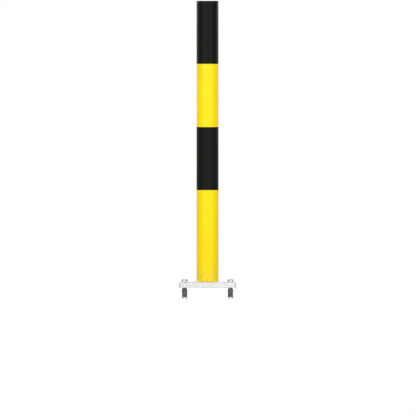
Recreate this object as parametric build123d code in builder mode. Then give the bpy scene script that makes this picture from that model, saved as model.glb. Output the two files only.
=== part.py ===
from build123d import *

import os

# A surface-mounted steel safety bollard: a coated round tube welded to a square base plate,
# closed by a push-in cap, wrapped with two black films, and held down by four bolts that
# draw expander nuts into short shield anchors under the plate.
#
# Millimetres, +Z up. The origin is on the ground, at the centre of the plate's underside.

# ---- Post -----------------------------------------------------------------------------
post_height = 1000.0  # ground to the top of the cap
tube_diameter = 76.1
tube_wall = 3.2

# ---- Base plate -----------------------------------------------------------------------
plate_side = 200.0
plate_thickness = 20.0
plate_corner_radius = 10.0
plate_edge_radius = 4.0  # rounding of the top rim
plate_rim_chamfer = 0.8  # along the underside's four sides
hole_edge_distance = 20.0  # a bolt's axis to the plate's two nearest sides
hole_clearance = 1.0  # gap between a bolt and the side of its hole
vent_diameter = 40.0  # lets zinc and air in and out of the tube in the galvanising bath
vent_chamfer = 0.8
weld_leg = 4.0
weld_crown = 0.4  # how far the bead's face swells past flat

# ---- Cap ------------------------------------------------------------------------------
cap_head_thickness = 4.0
cap_overhang = 0.05  # the head's rim stands this far past the film under it
cap_edge_radius = 1.2
cap_skirt_depth = 26.0
cap_skirt_wall = 2.0
cap_fin_count = 4
cap_fin_thickness = 1.2
cap_fin_reach = 2.4
cap_fin_clearance = 0.1  # between a fin's rim and the tube
cap_rib_thickness = 1.6

# ---- Black films ----------------------------------------------------------------------
band_height = 220.0  # black, yellow and black, counted down from the top
film_thickness = 0.25
film_lap = 14.0  # the film's end lies over its start by this much, at the back

# ---- Bolts and washers, M12 -----------------------------------------------------------
bolt_diameter = 12.0
bolt_tip_recess = 5.0  # the tip ends this far above the expander nut's bottom
bolt_tip_chamfer = 1.2
head_across_flats = 18.0
head_height = 7.5
head_collar_height = 0.6  # the round bearing face under the hexagon
head_collar_share = 0.92  # of the width across flats, as is the flat on top of the head
head_chamfer_drop = 1.4  # how far the turned chamfer comes down the corners
washer_diameter = 20.0
washer_thickness = 2.0
washer_clearance = 0.5  # gap between a bolt and its washer
washer_chamfer = 0.3

# ---- Shield anchors -------------------------------------------------------------------
anchor_wall = 3.0  # a bolt's side to the anchor's outside
anchor_depth = 38.0  # ground to the bottom of the expander nut
anchor_set_below = 2.5  # the shield sits this far under the plate
ferrule_height = 7.0
ferrule_wall = 0.8
fit_gap = 0.05  # between pieces of one anchor that bear on each other
shield_bore_clearance = 0.6  # gap between a bolt and the shield around it
shield_slot = 1.6
shield_count = 4
nut_height = 18.0
nut_foot_height = 3.0  # the straight foot below the cone
nut_foot_inset = 0.3  # the foot is this much inside the anchor's outside
nut_top_wall = 1.0  # the cone's wall at its top
nut_shield_overlap = 13.0  # how far the cone's top is inside the shield
nut_key_height = 7.5
nut_key_clearance = 0.25  # each side of a key, in its slot
nut_key_inset = 0.5  # a key's rim is this much inside the anchor's outside
ring_wire = 1.1
ring_gap_angle = 36.0  # centred on +X
ring_inset = 0.05  # the wire lies this much inside the anchor's outside
ring_below_ferrule = 3.0

# ---- Worked out -----------------------------------------------------------------------
tube_radius = tube_diameter / 2
tube_bore = tube_radius - tube_wall
tube_top = post_height - cap_head_thickness
film_radius = tube_radius + film_thickness
cap_radius = film_radius + cap_overhang
hole_spacing = plate_side - 2 * hole_edge_distance
bolt_radius = bolt_diameter / 2
bolt_seat = plate_thickness + washer_thickness
bolt_length = bolt_seat + anchor_depth - bolt_tip_recess
anchor_radius = bolt_radius + anchor_wall
anchor_top = -anchor_set_below
ferrule_bottom = anchor_top - ferrule_height
ferrule_bore = anchor_radius - ferrule_wall
shield_bore = bolt_radius + shield_bore_clearance
nut_bottom = -anchor_depth
nut_top = nut_bottom + nut_height
nut_foot_top = nut_bottom + nut_foot_height
nut_foot_radius = anchor_radius - nut_foot_inset
nut_top_radius = bolt_radius + fit_gap + nut_top_wall
nut_slope = (nut_foot_radius - nut_top_radius) / (nut_top - nut_foot_top)
shield_bottom = nut_top - nut_shield_overlap
bolt_grid = (hole_spacing, hole_spacing, 2, 2)
slot_angle = 360 / shield_count

os.makedirs("parts", exist_ok=True)


def save(piece, name):
    """Labels a finished piece and writes its STEP file."""
    piece.part.label = name
    export_step(piece.part, f"parts/{name}.step")


def save_at_bolts(piece, name, turn=0.0):
    """Sets a copy of a piece on each bolt's axis, turned by degrees, and saves the four as one node."""
    with BuildPart() as group:
        with GridLocations(*bolt_grid):
            add(piece.part, rotation=(0, 0, turn))
    save(group, name)


# ---- post_tube: round steel tube, yellow coating, square ends -------------------------
with BuildPart() as post_tube:
    with BuildSketch(Plane.XY.offset(plate_thickness)):
        Circle(tube_radius)
        Circle(tube_bore, mode=Mode.SUBTRACT)
    extrude(amount=tube_top - plate_thickness)
save(post_tube, "post_tube")


# ---- base_plate: square plate with four bolt holes and the vent hole ------------------
with BuildPart() as base_plate:
    with BuildSketch():
        RectangleRounded(plate_side, plate_side, plate_corner_radius)
    extrude(amount=plate_thickness)
    fillet(base_plate.faces().sort_by(Axis.Z)[-1].outer_wire().edges(), plate_edge_radius)
    chamfer(base_plate.faces().sort_by(Axis.Z)[0].outer_wire().edges(), plate_rim_chamfer)
    with Locations(Plane.XY.offset(plate_thickness)):
        Hole(vent_diameter / 2)
    chamfer(base_plate.edges().filter_by(lambda edge: edge.is_closed), vent_chamfer)
    with Locations(Plane.XY.offset(plate_thickness)):
        with GridLocations(*bolt_grid):
            Hole(bolt_radius + hole_clearance)
save(base_plate, "base_plate")


# ---- foot_weld: convex fillet bead all round the foot of the tube ---------------------
with BuildPart() as foot_weld:
    with BuildSketch(Plane.XZ):
        with BuildLine():
            toe = (tube_radius + weld_leg, plate_thickness)
            shoulder = (tube_radius, plate_thickness + weld_leg)
            swell = weld_leg / 2 + weld_crown * 2**-0.5
            crown = (tube_radius + swell, plate_thickness + swell)
            Line((tube_radius, plate_thickness), toe)
            ThreePointArc(toe, crown, shoulder)
            Line(shoulder, (tube_radius, plate_thickness))
        make_face()
    revolve(axis=Axis.Z)
save(foot_weld, "foot_weld")


# ---- top_cap: flat head on the tube's end, finned skirt inside it ---------------------
fin_radius = tube_bore - cap_fin_clearance
skirt_radius = fin_radius - cap_fin_reach
fin_pitch = cap_skirt_depth / cap_fin_count
with BuildPart() as top_cap:
    with BuildSketch(Plane.XY.offset(tube_top)):
        Circle(cap_radius)
    extrude(amount=cap_head_thickness)
    fillet(top_cap.faces().sort_by(Axis.Z)[-1].edges(), cap_edge_radius)
    with BuildSketch(Plane.XY.offset(tube_top)):
        Circle(skirt_radius)
        Circle(skirt_radius - cap_skirt_wall, mode=Mode.SUBTRACT)
        # two stiffening ribs cross inside the skirt
        with PolarLocations(0, 2, angular_range=180):
            Rectangle(2 * skirt_radius - cap_skirt_wall, cap_rib_thickness)
    extrude(amount=-cap_skirt_depth)
    for fin in range(cap_fin_count):
        with BuildSketch(Plane.XY.offset(tube_top - (fin + 0.5) * fin_pitch)):
            Circle(fin_radius)
            Circle(skirt_radius - cap_skirt_wall / 2, mode=Mode.SUBTRACT)
        extrude(amount=-cap_fin_thickness)
save(top_cap, "top_cap")


# ---- Black films: each wraps the tube once and laps over its own start at the back ----
black_bands = {
    "upper_black_band": (post_height - band_height, tube_top),
    "lower_black_band": (post_height - 3 * band_height, post_height - 2 * band_height),
}
for band_name, (band_low, band_high) in black_bands.items():
    with BuildPart() as black_band:
        with BuildSketch(Plane.XY.offset(band_low)):
            Circle(film_radius)
            Circle(tube_radius, mode=Mode.SUBTRACT)
        extrude(amount=band_high - band_low)
        # the lap's inner side lies half way into the sleeve, so the two join
        with BuildSketch(Plane.XY.offset(band_low)):
            Circle(film_radius + film_thickness)
            with Locations((0, film_radius)):
                Rectangle(film_lap, film_radius, mode=Mode.INTERSECT)
            Circle(tube_radius + film_thickness / 2, mode=Mode.SUBTRACT)
        extrude(amount=band_high - band_low)
    save(black_band, band_name)


# ---- anchor_bolts: four hexagon-head bolts, corners in line with X --------------------
head_top = bolt_seat + head_height
head_corner = head_across_flats / 3**0.5
collar_radius = head_across_flats * head_collar_share / 2
with BuildPart() as bolt:
    with BuildSketch(Plane.XY.offset(bolt_seat + head_collar_height)):
        RegularPolygon(head_corner, 6)
    extrude(amount=head_height - head_collar_height)
    with BuildSketch(Plane.XZ):
        with BuildLine():
            Polyline(
                (0, bolt_seat),
                (head_corner, bolt_seat),
                (head_corner, head_top - head_chamfer_drop),
                (collar_radius, head_top),
                (0, head_top),
                close=True,
            )
        make_face()
    revolve(axis=Axis.Z, mode=Mode.INTERSECT)
    with BuildSketch(Plane.XY.offset(bolt_seat)):
        Circle(collar_radius)
    extrude(amount=head_collar_height)
    with BuildSketch(Plane.XY.offset(bolt_seat)):
        Circle(bolt_radius)
    extrude(amount=-bolt_length)
    chamfer(bolt.faces().sort_by(Axis.Z)[0].edges(), bolt_tip_chamfer)
save_at_bolts(bolt, "anchor_bolts")


# ---- anchor_washers: one under each head ----------------------------------------------
with BuildPart() as washer:
    with BuildSketch(Plane.XY.offset(plate_thickness)):
        Circle(washer_diameter / 2)
        Circle(bolt_radius + washer_clearance, mode=Mode.SUBTRACT)
    extrude(amount=washer_thickness)
    chamfer(washer.faces().sort_by(Axis.Z)[-1].outer_wire().edges(), washer_chamfer)
save_at_bolts(washer, "anchor_washers")


# ---- shield_ferrules: pressed cups that hold the shields' upper ends ------------------
lip_bottom = anchor_top - ferrule_wall
with BuildPart() as ferrule:
    with BuildSketch(Plane.XZ):
        with BuildLine():
            Polyline(
                (shield_bore, anchor_top),
                (anchor_radius, anchor_top),
                (anchor_radius, ferrule_bottom),
                (ferrule_bore, ferrule_bottom),
                (ferrule_bore, lip_bottom),
                (shield_bore, lip_bottom),
                close=True,
            )
        make_face()
    revolve(axis=Axis.Z)
save_at_bolts(ferrule, "shield_ferrules")


# ---- shield_segments: four to an anchor, slotted apart, tapered inside at the bottom --
shield_top = lip_bottom - fit_gap
shield_shoulder = ferrule_bottom - fit_gap
groove_top = ferrule_bottom - ring_below_ferrule
groove_bottom = groove_top - ring_wire - 2 * fit_gap
groove_radius = anchor_radius - ring_inset - ring_wire - fit_gap
taper_bottom_radius = nut_top_radius + fit_gap + nut_slope * nut_shield_overlap
taper_top = nut_top + (nut_top_radius + fit_gap - shield_bore) / nut_slope
with BuildPart() as shield:
    with BuildSketch(Plane.XZ):
        with BuildLine():
            Polyline(
                (shield_bore, shield_top),
                (ferrule_bore - fit_gap, shield_top),
                (ferrule_bore - fit_gap, shield_shoulder),
                (anchor_radius, shield_shoulder),
                (anchor_radius, groove_top),
                (groove_radius, groove_top),
                (groove_radius, groove_bottom),
                (anchor_radius, groove_bottom),
                (anchor_radius, shield_bottom),
                (taper_bottom_radius, shield_bottom),
                (shield_bore, taper_top),
                close=True,
            )
        make_face()
    revolve(axis=Axis.Z)
    with BuildSketch(Plane.XY.offset(anchor_top)):
        with PolarLocations(anchor_radius, shield_count, start_angle=slot_angle / 2):
            Rectangle(2 * anchor_radius, shield_slot)
    extrude(amount=-anchor_depth, mode=Mode.SUBTRACT)
save_at_bolts(shield, "shield_segments")


# ---- shield_rings: open wire rings that keep the segments together --------------------
with BuildPart() as ring:
    with BuildSketch(Plane.XZ):
        with Locations((anchor_radius - ring_inset - ring_wire / 2, (groove_top + groove_bottom) / 2)):
            Circle(ring_wire / 2)
    revolve(axis=Axis.Z, revolution_arc=360 - ring_gap_angle)
save_at_bolts(ring, "shield_rings", turn=ring_gap_angle / 2)


# ---- expander_nuts: cones on the bolts' tips, keyed into the shields' slots -----------
key_width = shield_slot - 2 * nut_key_clearance
key_radius = anchor_radius - nut_key_inset
with BuildPart() as nut:
    with BuildSketch(Plane.XZ):
        with BuildLine():
            Polyline(
                (0, nut_bottom),
                (nut_foot_radius, nut_bottom),
                (nut_foot_radius, nut_foot_top),
                (nut_top_radius, nut_top),
                (0, nut_top),
                close=True,
            )
        make_face()
    revolve(axis=Axis.Z)
    with BuildSketch(Plane.XY.offset(nut_foot_top)):
        with PolarLocations(key_radius / 2, shield_count, start_angle=slot_angle / 2):
            Rectangle(key_radius, key_width)
    extrude(amount=nut_key_height)
    with BuildSketch(Plane.XY.offset(nut_bottom)):
        Circle(bolt_radius + fit_gap)
    extrude(amount=nut_height, mode=Mode.SUBTRACT)
save_at_bolts(nut, "expander_nuts")
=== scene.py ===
"""The looks of a surface-mounted steel safety bollard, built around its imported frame.

Metres, +Z up, in the frame's own axes: the origin is on the ground, at the centre of the base
plate's underside, and -Y is the front. Heights come from the frame. Sizes across an axis are
the fields of the class that makes the piece, and the two that several classes share stand first.
"""

from __future__ import annotations

import logging
import math
from collections.abc import Callable, Sequence
from dataclasses import dataclass, field
from enum import Enum

import bmesh
import bpy
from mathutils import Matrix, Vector
from mathutils.geometry import tessellate_polygon


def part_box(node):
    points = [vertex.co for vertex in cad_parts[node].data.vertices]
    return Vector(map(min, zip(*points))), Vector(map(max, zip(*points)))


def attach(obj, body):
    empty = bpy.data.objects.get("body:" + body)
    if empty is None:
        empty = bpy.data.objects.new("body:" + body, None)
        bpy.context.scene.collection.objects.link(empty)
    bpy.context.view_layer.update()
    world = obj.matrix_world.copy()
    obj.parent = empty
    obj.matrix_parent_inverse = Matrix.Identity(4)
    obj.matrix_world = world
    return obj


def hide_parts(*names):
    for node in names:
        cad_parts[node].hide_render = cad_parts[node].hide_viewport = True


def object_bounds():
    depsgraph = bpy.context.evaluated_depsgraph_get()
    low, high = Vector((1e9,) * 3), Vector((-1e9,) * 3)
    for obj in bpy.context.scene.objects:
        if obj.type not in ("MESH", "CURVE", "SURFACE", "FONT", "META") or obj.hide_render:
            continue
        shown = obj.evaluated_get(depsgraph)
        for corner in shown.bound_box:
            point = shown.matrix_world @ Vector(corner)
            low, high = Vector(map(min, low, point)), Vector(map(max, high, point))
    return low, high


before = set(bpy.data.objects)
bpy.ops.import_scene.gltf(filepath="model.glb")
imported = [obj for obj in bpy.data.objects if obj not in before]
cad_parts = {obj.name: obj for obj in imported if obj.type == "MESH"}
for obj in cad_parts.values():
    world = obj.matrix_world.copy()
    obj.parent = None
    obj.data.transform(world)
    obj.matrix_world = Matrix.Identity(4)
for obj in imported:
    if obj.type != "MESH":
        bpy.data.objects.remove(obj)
cad_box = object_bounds()

log = logging.getLogger("bollard")

MM = 0.001
BODY = "root"
TUBE_RADIUS = 38.05 * MM
BOLT_SPACING = 160.0 * MM

Point = tuple[float, float]
Place = tuple[float, float, float]
Colour = tuple[float, float, float]
Corner = tuple[float, float, float]
Profile = Sequence[Point]
Value = "float | int | bool | str | Sequence[float] | bpy.types.NodeSocket | Number"


class Slot(Enum):
    """The material slots that the pieces take their finish from."""

    YELLOW = "yellow_coating"
    GALVANISED = "galvanised_steel"
    PLASTIC = "black_plastic"
    FILM = "black_film"
    ZINC = "zinc_plate"
    DARK = "dark_zinc"


# ---- Node trees ------------------------------------------------------------------------


class Number:
    """One number in a node tree. Python's operators on it add the Math nodes they stand for."""

    def __init__(self, graph: Graph, socket: bpy.types.NodeSocket) -> None:
        """Wraps an output socket of a node in the graph's tree."""
        self.graph = graph
        self.socket = socket

    def _with(self, operation: str, *others: Value) -> Number:
        """Adds one Math node with this number first."""
        return self.graph.maths(operation, self, *others)

    def __add__(self, other: Value) -> Number:
        """Adds."""
        return self._with("ADD", other)

    __radd__ = __add__

    def __mul__(self, other: Value) -> Number:
        """Multiplies."""
        return self._with("MULTIPLY", other)

    __rmul__ = __mul__

    def __sub__(self, other: Value) -> Number:
        """Subtracts."""
        return self._with("SUBTRACT", other)

    def __rsub__(self, other: Value) -> Number:
        """Subtracts this from the other."""
        return self.graph.maths("SUBTRACT", other, self)

    def __truediv__(self, other: Value) -> Number:
        """Divides."""
        return self._with("DIVIDE", other)

    def __pow__(self, other: Value) -> Number:
        """Raises to a power."""
        return self._with("POWER", other)

    def between(self, low: float, high: float) -> Number:
        """Maps low to 0 and high to 1, with a smooth step between and nothing past them.

        Args:
            low: the number that gives 0.
            high: the number that gives 1, which may be the smaller.

        Returns:
            The number from 0 to 1.
        """
        span = {"From Min": low, "From Max": high, "Value": self}
        node = self.graph.add("ShaderNodeMapRange", {"interpolation_type": "SMOOTHSTEP"}, span)
        return Number(self.graph, node.outputs["Result"])


class Graph:
    """Adds nodes to one shader or geometry tree."""

    def __init__(self, tree: bpy.types.NodeTree) -> None:
        """Takes the tree that the nodes go into."""
        self.tree = tree

    def add(
        self,
        kind: str,
        settings: dict[str, object] | None = None,
        inputs: dict[str | int, Value] | None = None,
    ) -> bpy.types.Node:
        """Adds a node, makes its settings, and then fills or links its sockets.

        Args:
            kind: the node's type.
            settings: its own properties, such as an operation or a data type.
            inputs: a value or a link for each socket, by name or by number.

        Returns:
            The node.
        """
        node = self.tree.nodes.new(kind)
        for name, value in (settings or {}).items():
            setattr(node, name, value)
        for key, value in (inputs or {}).items():
            socket = node.inputs[key] if isinstance(key, int) else self._input(node, key)
            self.feed(socket, value)
        return node

    @staticmethod
    def _input(node: bpy.types.Node, name: str) -> bpy.types.NodeSocket:
        """Finds the input of that name which the node's settings have left in use."""
        return next(s for s in node.inputs if s.name == name and s.enabled)

    def feed(self, socket: bpy.types.NodeSocket, value: Value) -> None:
        """Links a socket or a number to an input, or sets the input's own value.

        Args:
            socket: the input.
            value: what it is linked to or set to.
        """
        if isinstance(value, Number):
            value = value.socket
        if isinstance(value, bpy.types.NodeSocket):
            self.tree.links.new(value, socket)
        else:
            socket.default_value = value

    def maths(self, operation: str, *values: Value) -> Number:
        """Adds a Math node.

        Args:
            operation: what it does.
            values: its numbers, in order.

        Returns:
            The result.
        """
        node = self.add("ShaderNodeMath", {"operation": operation}, dict(enumerate(values)))
        return Number(self, node.outputs[0])

    def vector(self, operation: str, *values: Value, scale: Value | None = None) -> bpy.types.NodeSocket:
        """Adds a Vector Math node.

        Args:
            operation: what it does.
            values: its vectors, in order.
            scale: the factor of a scaling.

        Returns:
            The result, a vector.
        """
        inputs: dict[str | int, Value] = dict(enumerate(values))
        if scale is not None:
            inputs["Scale"] = scale
        return self.add("ShaderNodeVectorMath", {"operation": operation}, inputs).outputs[0]

    def colours(self, factor: Value, first: Value, second: Value, blend: str = "MIX") -> bpy.types.NodeSocket:
        """Mixes two colours.

        Args:
            factor: how much of the second colour there is.
            first: the colour at a factor of 0.
            second: the colour that is laid over it.
            blend: how they are blended.

        Returns:
            The mixed colour.
        """
        node = self.add(
            "ShaderNodeMix",
            {"data_type": "RGBA", "blend_type": blend},
            {"Factor": factor, "A": first, "B": second},
        )
        return next(s for s in node.outputs if s.name == "Result" and s.enabled)

    def noise(self, where: Value, scale: float, detail: float = 2.0, rough: float = 0.5) -> Number:
        """Gives a cloudy pattern from 0 to 1.

        Args:
            where: the coordinates that it is drawn on.
            scale: how many blobs there are to a metre.
            detail: how many finer layers there are.
            rough: how strong the finer layers are.

        Returns:
            The pattern.
        """
        inputs = {"Vector": where, "Scale": scale, "Detail": detail, "Roughness": rough}
        return Number(self, self.add("ShaderNodeTexNoise", None, inputs).outputs[0])

    def cells(self, where: Value, scale: float, feature: str = "F1") -> bpy.types.Node:
        """Adds a Voronoi pattern of about that many cells to a metre, and gives its node."""
        settings = {"feature": feature, "voronoi_dimensions": "3D"}
        return self.add("ShaderNodeTexVoronoi", settings, {"Vector": where, "Scale": scale})

    def split(self, vector: Value) -> tuple[Number, Number, Number]:
        """Gives a vector's three numbers.

        Args:
            vector: the vector.

        Returns:
            Its X, Y and Z.
        """
        node = self.add("ShaderNodeSeparateXYZ", None, {0: vector})
        x, y, z = (Number(self, socket) for socket in node.outputs)
        return x, y, z

    def join(self, x: Value, y: Value, z: Value) -> bpy.types.NodeSocket:
        """Makes a vector of three numbers."""
        return self.add("ShaderNodeCombineXYZ", None, {0: x, 1: y, 2: z}).outputs[0]


# ---- Finishes --------------------------------------------------------------------------


@dataclass(frozen=True)
class Finish:
    """A procedural material. Each finish draws its own patterns on the shader."""

    slot: Slot
    colour: Colour
    metallic: float = 0.0
    roughness: float = 0.5
    specular: float = 0.5

    def material(self) -> bpy.types.Material:
        """Makes the material of this finish.

        Returns:
            The material, with its nodes in place.
        """
        made = bpy.data.materials.new(type(self).__name__.lower())
        made.use_nodes = True
        made.diffuse_color = (*self.colour, 1.0)
        graph = Graph(made.node_tree)
        shader = made.node_tree.nodes["Principled BSDF"]
        shader.inputs["Metallic"].default_value = self.metallic
        shader.inputs["Specular IOR Level"].default_value = self.specular
        self.dress(graph, shader)
        return made

    def place(self, graph: Graph) -> bpy.types.NodeSocket:
        """Gives the coordinates that the patterns are drawn on, in metres."""
        return graph.add("ShaderNodeTexCoord").outputs["Object"]

    def dress(self, graph: Graph, shader: bpy.types.Node) -> None:
        """Draws the finish's patterns and links them to the shader."""
        raise NotImplementedError

    def bump(self, graph: Graph, shader: bpy.types.Node, height: Value, depth: float) -> None:
        """Raises the surface.

        Args:
            graph: the material's tree.
            shader: the shader whose normal is bent.
            height: the relief, from 0 to 1.
            depth: how high 1 stands, in metres.
        """
        relief = graph.add("ShaderNodeBump", None, {"Strength": 1.0, "Distance": depth, "Height": height})
        graph.feed(shader.inputs["Normal"], relief.outputs[0])

    def shades(self, graph: Graph, tone: Number, dark: float, light: float) -> bpy.types.NodeSocket:
        """Gives the finish's colour, from darker at a tone of 0 to lighter at 1.

        Args:
            graph: the material's tree.
            tone: where between the two shades the surface is.
            dark: what the colour is multiplied by at 0.
            light: what it is multiplied by at 1.

        Returns:
            The colour.
        """
        low, high = (tuple(min(1.0, c * share) for c in self.colour) for share in (dark, light))
        return graph.colours(tone, (*low, 1.0), (*high, 1.0))


@dataclass(frozen=True)
class YellowCoating(Finish):
    """Baked traffic-yellow powder coating: orange peel, faint clouds, road dust at the foot."""

    slot: Slot = Slot.YELLOW
    colour: Colour = (0.93, 0.680, 0.003)
    roughness: float = 0.33
    specular: float = 0.20
    peel_per_metre: float = 560.0
    peel_depth: float = 0.13 * MM
    dust: Colour = (0.42, 0.36, 0.26)
    dust_height: float = 0.11

    def dress(self, graph: Graph, shader: bpy.types.Node) -> None:
        """Draws the peel, the clouds, a few light rubs and the dust that rain splashes up.

        Args:
            graph: the material's tree.
            shader: its Principled shader.
        """
        where = self.place(graph)
        clouds = graph.noise(where, scale=9.0, detail=3.0)
        grain = graph.noise(where, scale=2200.0, detail=2.0, rough=0.6)
        base = self.shades(graph, clouds * 0.6 + grain * 0.4, dark=0.94, light=1.06)

        height = graph.split(where)[2]
        splash = graph.noise(where, scale=46.0, detail=5.0, rough=0.62)
        near_ground = (height + splash * 0.05).between(0.02 + self.dust_height, 0.02)
        specks = graph.noise(where, scale=1400.0, detail=4.0, rough=0.7).between(0.50, 0.72)
        dust = near_ground * (0.07 + specks * 0.16)
        tint = graph.colours(dust, base, (*self.dust, 1.0))
        graph.feed(shader.inputs["Base Color"], tint)

        stretched = graph.vector("MULTIPLY", where, (60.0, 60.0, 900.0))
        rubs = graph.noise(stretched, scale=1.0, detail=2.0).between(0.66, 0.78) * clouds.between(0.5, 0.7)
        rough = self.roughness + clouds * 0.05 + dust * 0.45 + rubs * 0.10
        graph.feed(shader.inputs["Roughness"], rough)

        peel = graph.noise(where, scale=self.peel_per_metre, detail=1.5, rough=0.4)
        self.bump(graph, shader, peel + specks * near_ground * 0.25, self.peel_depth)


@dataclass(frozen=True)
class BlackFilm(Finish):
    """Self-adhesive black film: a calm semi-gloss with slow waves and a few pin bubbles."""

    slot: Slot = Slot.FILM
    colour: Colour = (0.0064, 0.0067, 0.0048)
    roughness: float = 0.36
    specular: float = 0.08
    wave_depth: float = 0.20 * MM

    def dress(self, graph: Graph, shader: bpy.types.Node) -> None:
        """Draws the film's grain, the waves of the wall under it and the bubbles.

        Args:
            graph: the material's tree.
            shader: its Principled shader.
        """
        where = self.place(graph)
        clouds = graph.noise(where, scale=14.0, detail=3.0)
        graph.feed(shader.inputs["Base Color"], self.shades(graph, clouds, dark=0.88, light=1.12))

        drawn = graph.vector("MULTIPLY", where, (210.0, 210.0, 26.0))
        streaks = graph.noise(drawn, scale=1.0, detail=3.0, rough=0.55)
        graph.feed(shader.inputs["Roughness"], self.roughness + streaks * 0.12 + clouds * 0.08)

        waves = graph.noise(where, scale=24.0, detail=1.0)
        bubbles = Number(graph, graph.cells(where, 75.0).outputs["Distance"]).between(0.12, 0.03)
        rare = graph.noise(where, scale=22.0, detail=1.0).between(0.58, 0.66)
        grain = graph.noise(where, scale=1500.0, detail=2.0)
        self.bump(graph, shader, waves + bubbles * rare * 0.4 + grain * 0.04, self.wave_depth)


@dataclass(frozen=True)
class BlackPlastic(Finish):
    """Moulded black polyethylene: spark-eroded grain, rubbed smoother in patches."""

    slot: Slot = Slot.PLASTIC
    colour: Colour = (0.0085, 0.0087, 0.0076)
    roughness: float = 0.52
    specular: float = 0.20
    grain_depth: float = 0.03 * MM

    def dress(self, graph: Graph, shader: bpy.types.Node) -> None:
        """Draws the grain and the rubbed patches.

        Args:
            graph: the material's tree.
            shader: its Principled shader.
        """
        where = self.place(graph)
        patches = graph.noise(where, scale=60.0, detail=4.0)
        grain = graph.noise(where, scale=2600.0, detail=2.0, rough=0.6)
        graph.feed(shader.inputs["Base Color"], self.shades(graph, patches, dark=0.85, light=1.25))
        graph.feed(shader.inputs["Roughness"], self.roughness + grain * 0.10 - patches * 0.12)
        self.bump(graph, shader, grain, self.grain_depth)


@dataclass(frozen=True)
class Galvanised(Finish):
    """Bright hot-dip zinc: spangle whose crystals each have their own tone and grain, and dross."""

    slot: Slot = Slot.GALVANISED
    colour: Colour = (0.74, 0.755, 0.77)
    metallic: float = 0.60
    roughness: float = 0.48
    spangles_per_metre: float = 120.0
    waver: float = 1.6 * MM
    streaks_per_metre: float = 3200.0
    relief_depth: float = 0.07 * MM

    def dress(self, graph: Graph, shader: bpy.types.Node) -> None:
        """Draws the crystals, with streaks across each, over a slow drift of the zinc's thickness.

        Args:
            graph: the material's tree.
            shader: its Principled shader.
        """
        where = self.place(graph)
        drift = graph.noise(where, scale=24.0, detail=3.0)
        shake = graph.add("ShaderNodeTexNoise", None, {"Vector": where, "Scale": 260.0}).outputs["Color"]
        bent = graph.vector("ADD", where, graph.vector("SCALE", shake, scale=self.waver))
        crystals = graph.cells(bent, self.spangles_per_metre)
        own = crystals.outputs["Color"]
        shade = graph.split(own)[0]
        heading = graph.vector("NORMALIZE", graph.vector("SUBTRACT", own, (0.5, 0.5, 0.5)))
        along = graph.add("ShaderNodeVectorMath", {"operation": "DOT_PRODUCT"}, {0: where, 1: heading})
        ragged = graph.noise(where, scale=600.0, detail=3.0) * 9.0
        run = Number(graph, along.outputs["Value"]) * self.streaks_per_metre + ragged
        streaks = graph.maths("SINE", run) * 0.5 + 0.5

        tone = shade * 0.50 + drift * 0.37 + streaks * 0.13
        graph.feed(shader.inputs["Base Color"], self.shades(graph, tone, dark=0.82, light=1.12))
        graph.feed(shader.inputs["Roughness"], self.roughness - 0.12 + tone * 0.24)
        edge = Number(graph, graph.cells(bent, self.spangles_per_metre, "DISTANCE_TO_EDGE").outputs[0])
        dross = graph.noise(where, scale=320.0, detail=2.0).between(0.70, 0.80)
        relief = drift * 0.7 + edge.between(0.0, 0.10) * 0.14 + dross * 0.2 + streaks * 0.03
        self.bump(graph, shader, relief, self.relief_depth)


@dataclass(frozen=True)
class ZincPlate(Finish):
    """Bright electroplated zinc on steel hardware: brushed tone, wrench rubs, faint bloom."""

    slot: Slot = Slot.ZINC
    colour: Colour = (0.69, 0.70, 0.71)
    metallic: float = 0.85
    roughness: float = 0.32
    bloom: Colour = (0.66, 0.65, 0.60)

    def place(self, graph: Graph) -> bpy.types.NodeSocket:
        """Gives each copy its own part of the pattern, from its place round its own axis.

        Args:
            graph: the material's tree.

        Returns:
            The coordinates, shifted by each copy's own tone.
        """
        own = graph.add("ShaderNodeAttribute", {"attribute_name": CornerArray.OWN_PLACE}).outputs["Vector"]
        tone = graph.add("ShaderNodeAttribute", {"attribute_name": CornerArray.TONE}).outputs["Fac"]
        return graph.vector("ADD", own, graph.vector("SCALE", (1.0, 1.7, 2.3), scale=tone))

    def dress(self, graph: Graph, shader: bpy.types.Node) -> None:
        """Draws the plating's cloudiness, fine rubs and small pits.

        Args:
            graph: the material's tree.
            shader: its Principled shader.
        """
        where = self.place(graph)
        clouds = graph.noise(where, scale=160.0, detail=4.0, rough=0.6)
        bright = self.shades(graph, clouds, dark=0.86, light=1.08)
        blooming = graph.noise(where, scale=95.0, detail=3.0).between(0.50, 0.75) * 0.45
        graph.feed(shader.inputs["Base Color"], graph.colours(blooming, bright, (*self.bloom, 1.0)))
        rubs = graph.noise(graph.vector("MULTIPLY", where, (2600.0, 2600.0, 300.0)), scale=1.0, detail=2.0)
        graph.feed(shader.inputs["Roughness"], self.roughness + clouds * 0.12 + rubs * 0.08)
        self.bump(graph, shader, rubs * 0.5 + clouds * 0.5, 0.012 * MM)


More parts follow.
